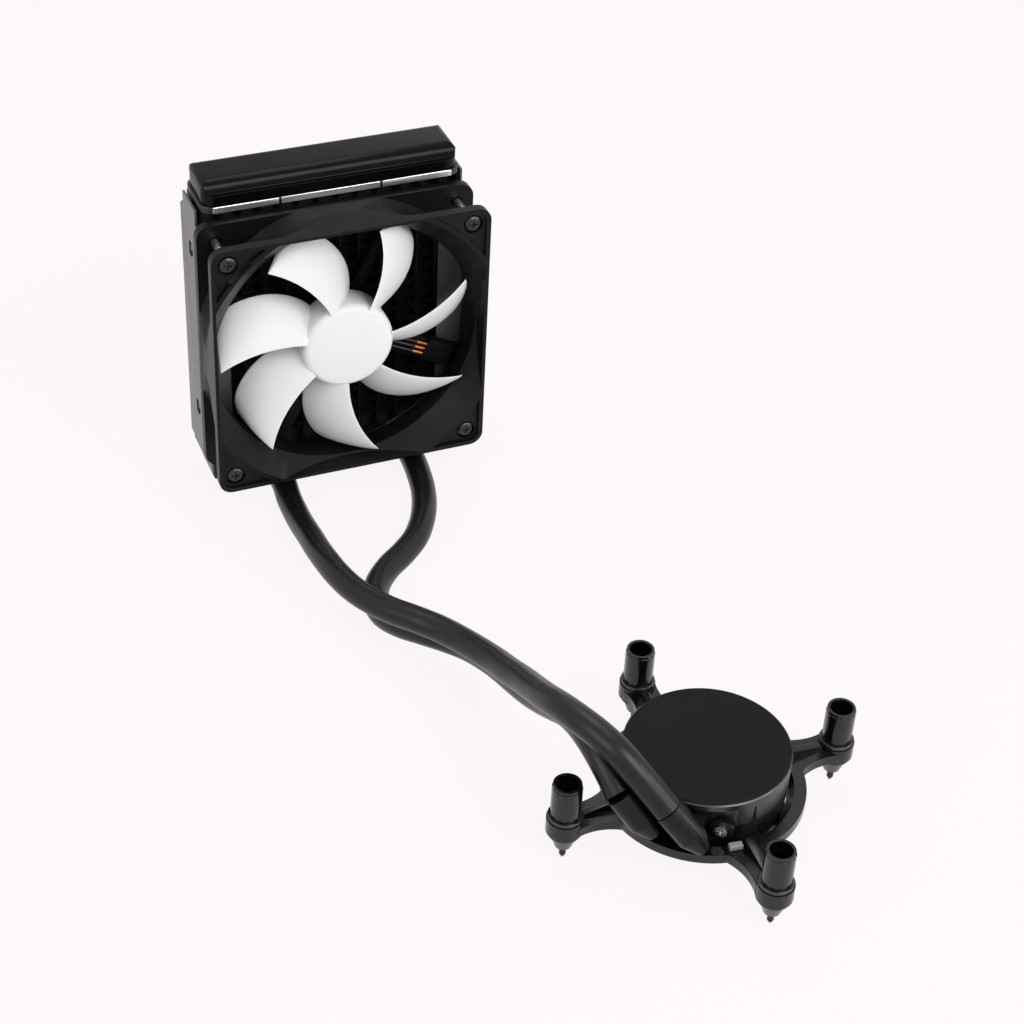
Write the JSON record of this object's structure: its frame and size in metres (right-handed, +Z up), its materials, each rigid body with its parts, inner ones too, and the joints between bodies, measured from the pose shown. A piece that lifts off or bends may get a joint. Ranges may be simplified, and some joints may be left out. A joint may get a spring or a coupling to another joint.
{
  "type": "all in one cpu liquid cooler",
  "caption": "Closed-loop liquid cooler: slim radiator with a square fan, twin rubber hoses and a round pump head with a four-arm clamp ring and screw posts.",
  "frame": {"origin": "centre of the flat foot under the radiator's lower tank, on the surface it stands on", "axes": "+Z up; +Y from the fan through the radiator, along the air flow; +X to the right seen from the fan"},
  "size_m": [0.183, 0.3435, 0.151],
  "materials": {
    "tank_plastic": "gloss",
    "radiator_paint": "satin",
    "dark_steel": "satin",
    "frame_plastic": "matte",
    "white_plastic": "satin",
    "bright_steel": "bright",
    "ferrite": "matte",
    "bronze": "satin",
    "core_steel": "satin",
    "copper": "satin",
    "board_green": "satin",
    "seal_rubber": "matte",
    "pump_plastic": "satin",
    "pump_gloss": "satin",
    "inner_plastic": "satin",
    "ring_plastic": "gloss",
    "grey_plastic": "satin",
    "clip_plastic": "gloss",
    "hose_rubber": "matte"
  },
  "bodies": {
    "cooler": {"tank_top": "tank_plastic", "tank_bottom": "tank_plastic", "header_top": "radiator_paint", "header_bottom": "radiator_paint", "core_tubes": "radiator_paint", "core_fins": "radiator_paint", "core_strips": "radiator_paint", "side_plate_left": "radiator_paint", "side_plate_right": "radiator_paint", "side_rivets": "dark_steel", "fan_frame": "frame_plastic", "fan_spider": "frame_plastic", "fan_screws": "bright_steel", "shaft_bearing": "bronze", "stator_core": "core_steel", "stator_coils": "copper", "fan_board": "board_green", "lead_block": "frame_plastic", "lead_wires": "copper", "cold_plate": "copper", "plate_screws": "bright_steel", "plate_seal": "seal_rubber", "pump_base": "pump_plastic", "pump_cover": "pump_gloss", "impeller_pin": "bright_steel", "pump_core": "core_steel", "pump_coils": "copper", "pump_board": "board_green", "port_screw": "bright_steel", "elbow_a": "pump_plastic", "elbow_b": "pump_plastic", "elbow_plugs": "bright_steel", "hose_a": "hose_rubber", "hose_b": "hose_rubber"},
    "fan_wheel": {"fan_rotor": "white_plastic", "rotor_yoke": "bright_steel", "rotor_magnet": "ferrite", "rotor_shaft": "bright_steel"},
    "impeller": {"pump_impeller": "inner_plastic", "impeller_magnet": "ferrite"},
    "lock_ring": {"retention_ring": "ring_plastic", "lock_tab": "grey_plastic", "arm_clips": "clip_plastic"},
    "post_1": {"sleeve_1": "ring_plastic", "screw_1": "bright_steel"},
    "post_2": {"sleeve_2": "ring_plastic", "screw_2": "bright_steel"},
    "post_3": {"sleeve_3": "ring_plastic", "screw_3": "bright_steel"},
    "post_4": {"sleeve_4": "ring_plastic", "screw_4": "bright_steel"}
  },
  "joints": [
    {"name": "fan_spin", "type": "hinge", "parent": "cooler", "child": "fan_wheel", "pos_m": [0, -0.026, 0.0755], "axis": [0, 1, 0], "continuous": true},
    {"name": "impeller_spin", "type": "hinge", "parent": "cooler", "child": "impeller", "pos_m": [0.0595, -0.2665, 0.02], "axis": [0, 0, 1], "continuous": true},
    {"name": "ring_turn", "type": "hinge", "parent": "cooler", "child": "lock_ring", "pos_m": [0.0595, -0.2665, 0.013], "axis": [0, 0, 1], "range_deg": [0, 20]},
    {"name": "screw_1_turn", "type": "hinge", "parent": "lock_ring", "child": "post_1", "pos_m": [0.00295, -0.26798, 0], "axis": [0, 0, 1], "continuous": true},
    {"name": "screw_2_turn", "type": "hinge", "parent": "lock_ring", "child": "post_2", "pos_m": [0.05802, -0.20995, 0], "axis": [0, 0, 1], "continuous": true},
    {"name": "screw_3_turn", "type": "hinge", "parent": "lock_ring", "child": "post_3", "pos_m": [0.06098, -0.32305, 0], "axis": [0, 0, 1], "continuous": true},
    {"name": "screw_4_turn", "type": "hinge", "parent": "lock_ring", "child": "post_4", "pos_m": [0.11605, -0.26502, 0], "axis": [0, 0, 1], "continuous": true}
  ]
}
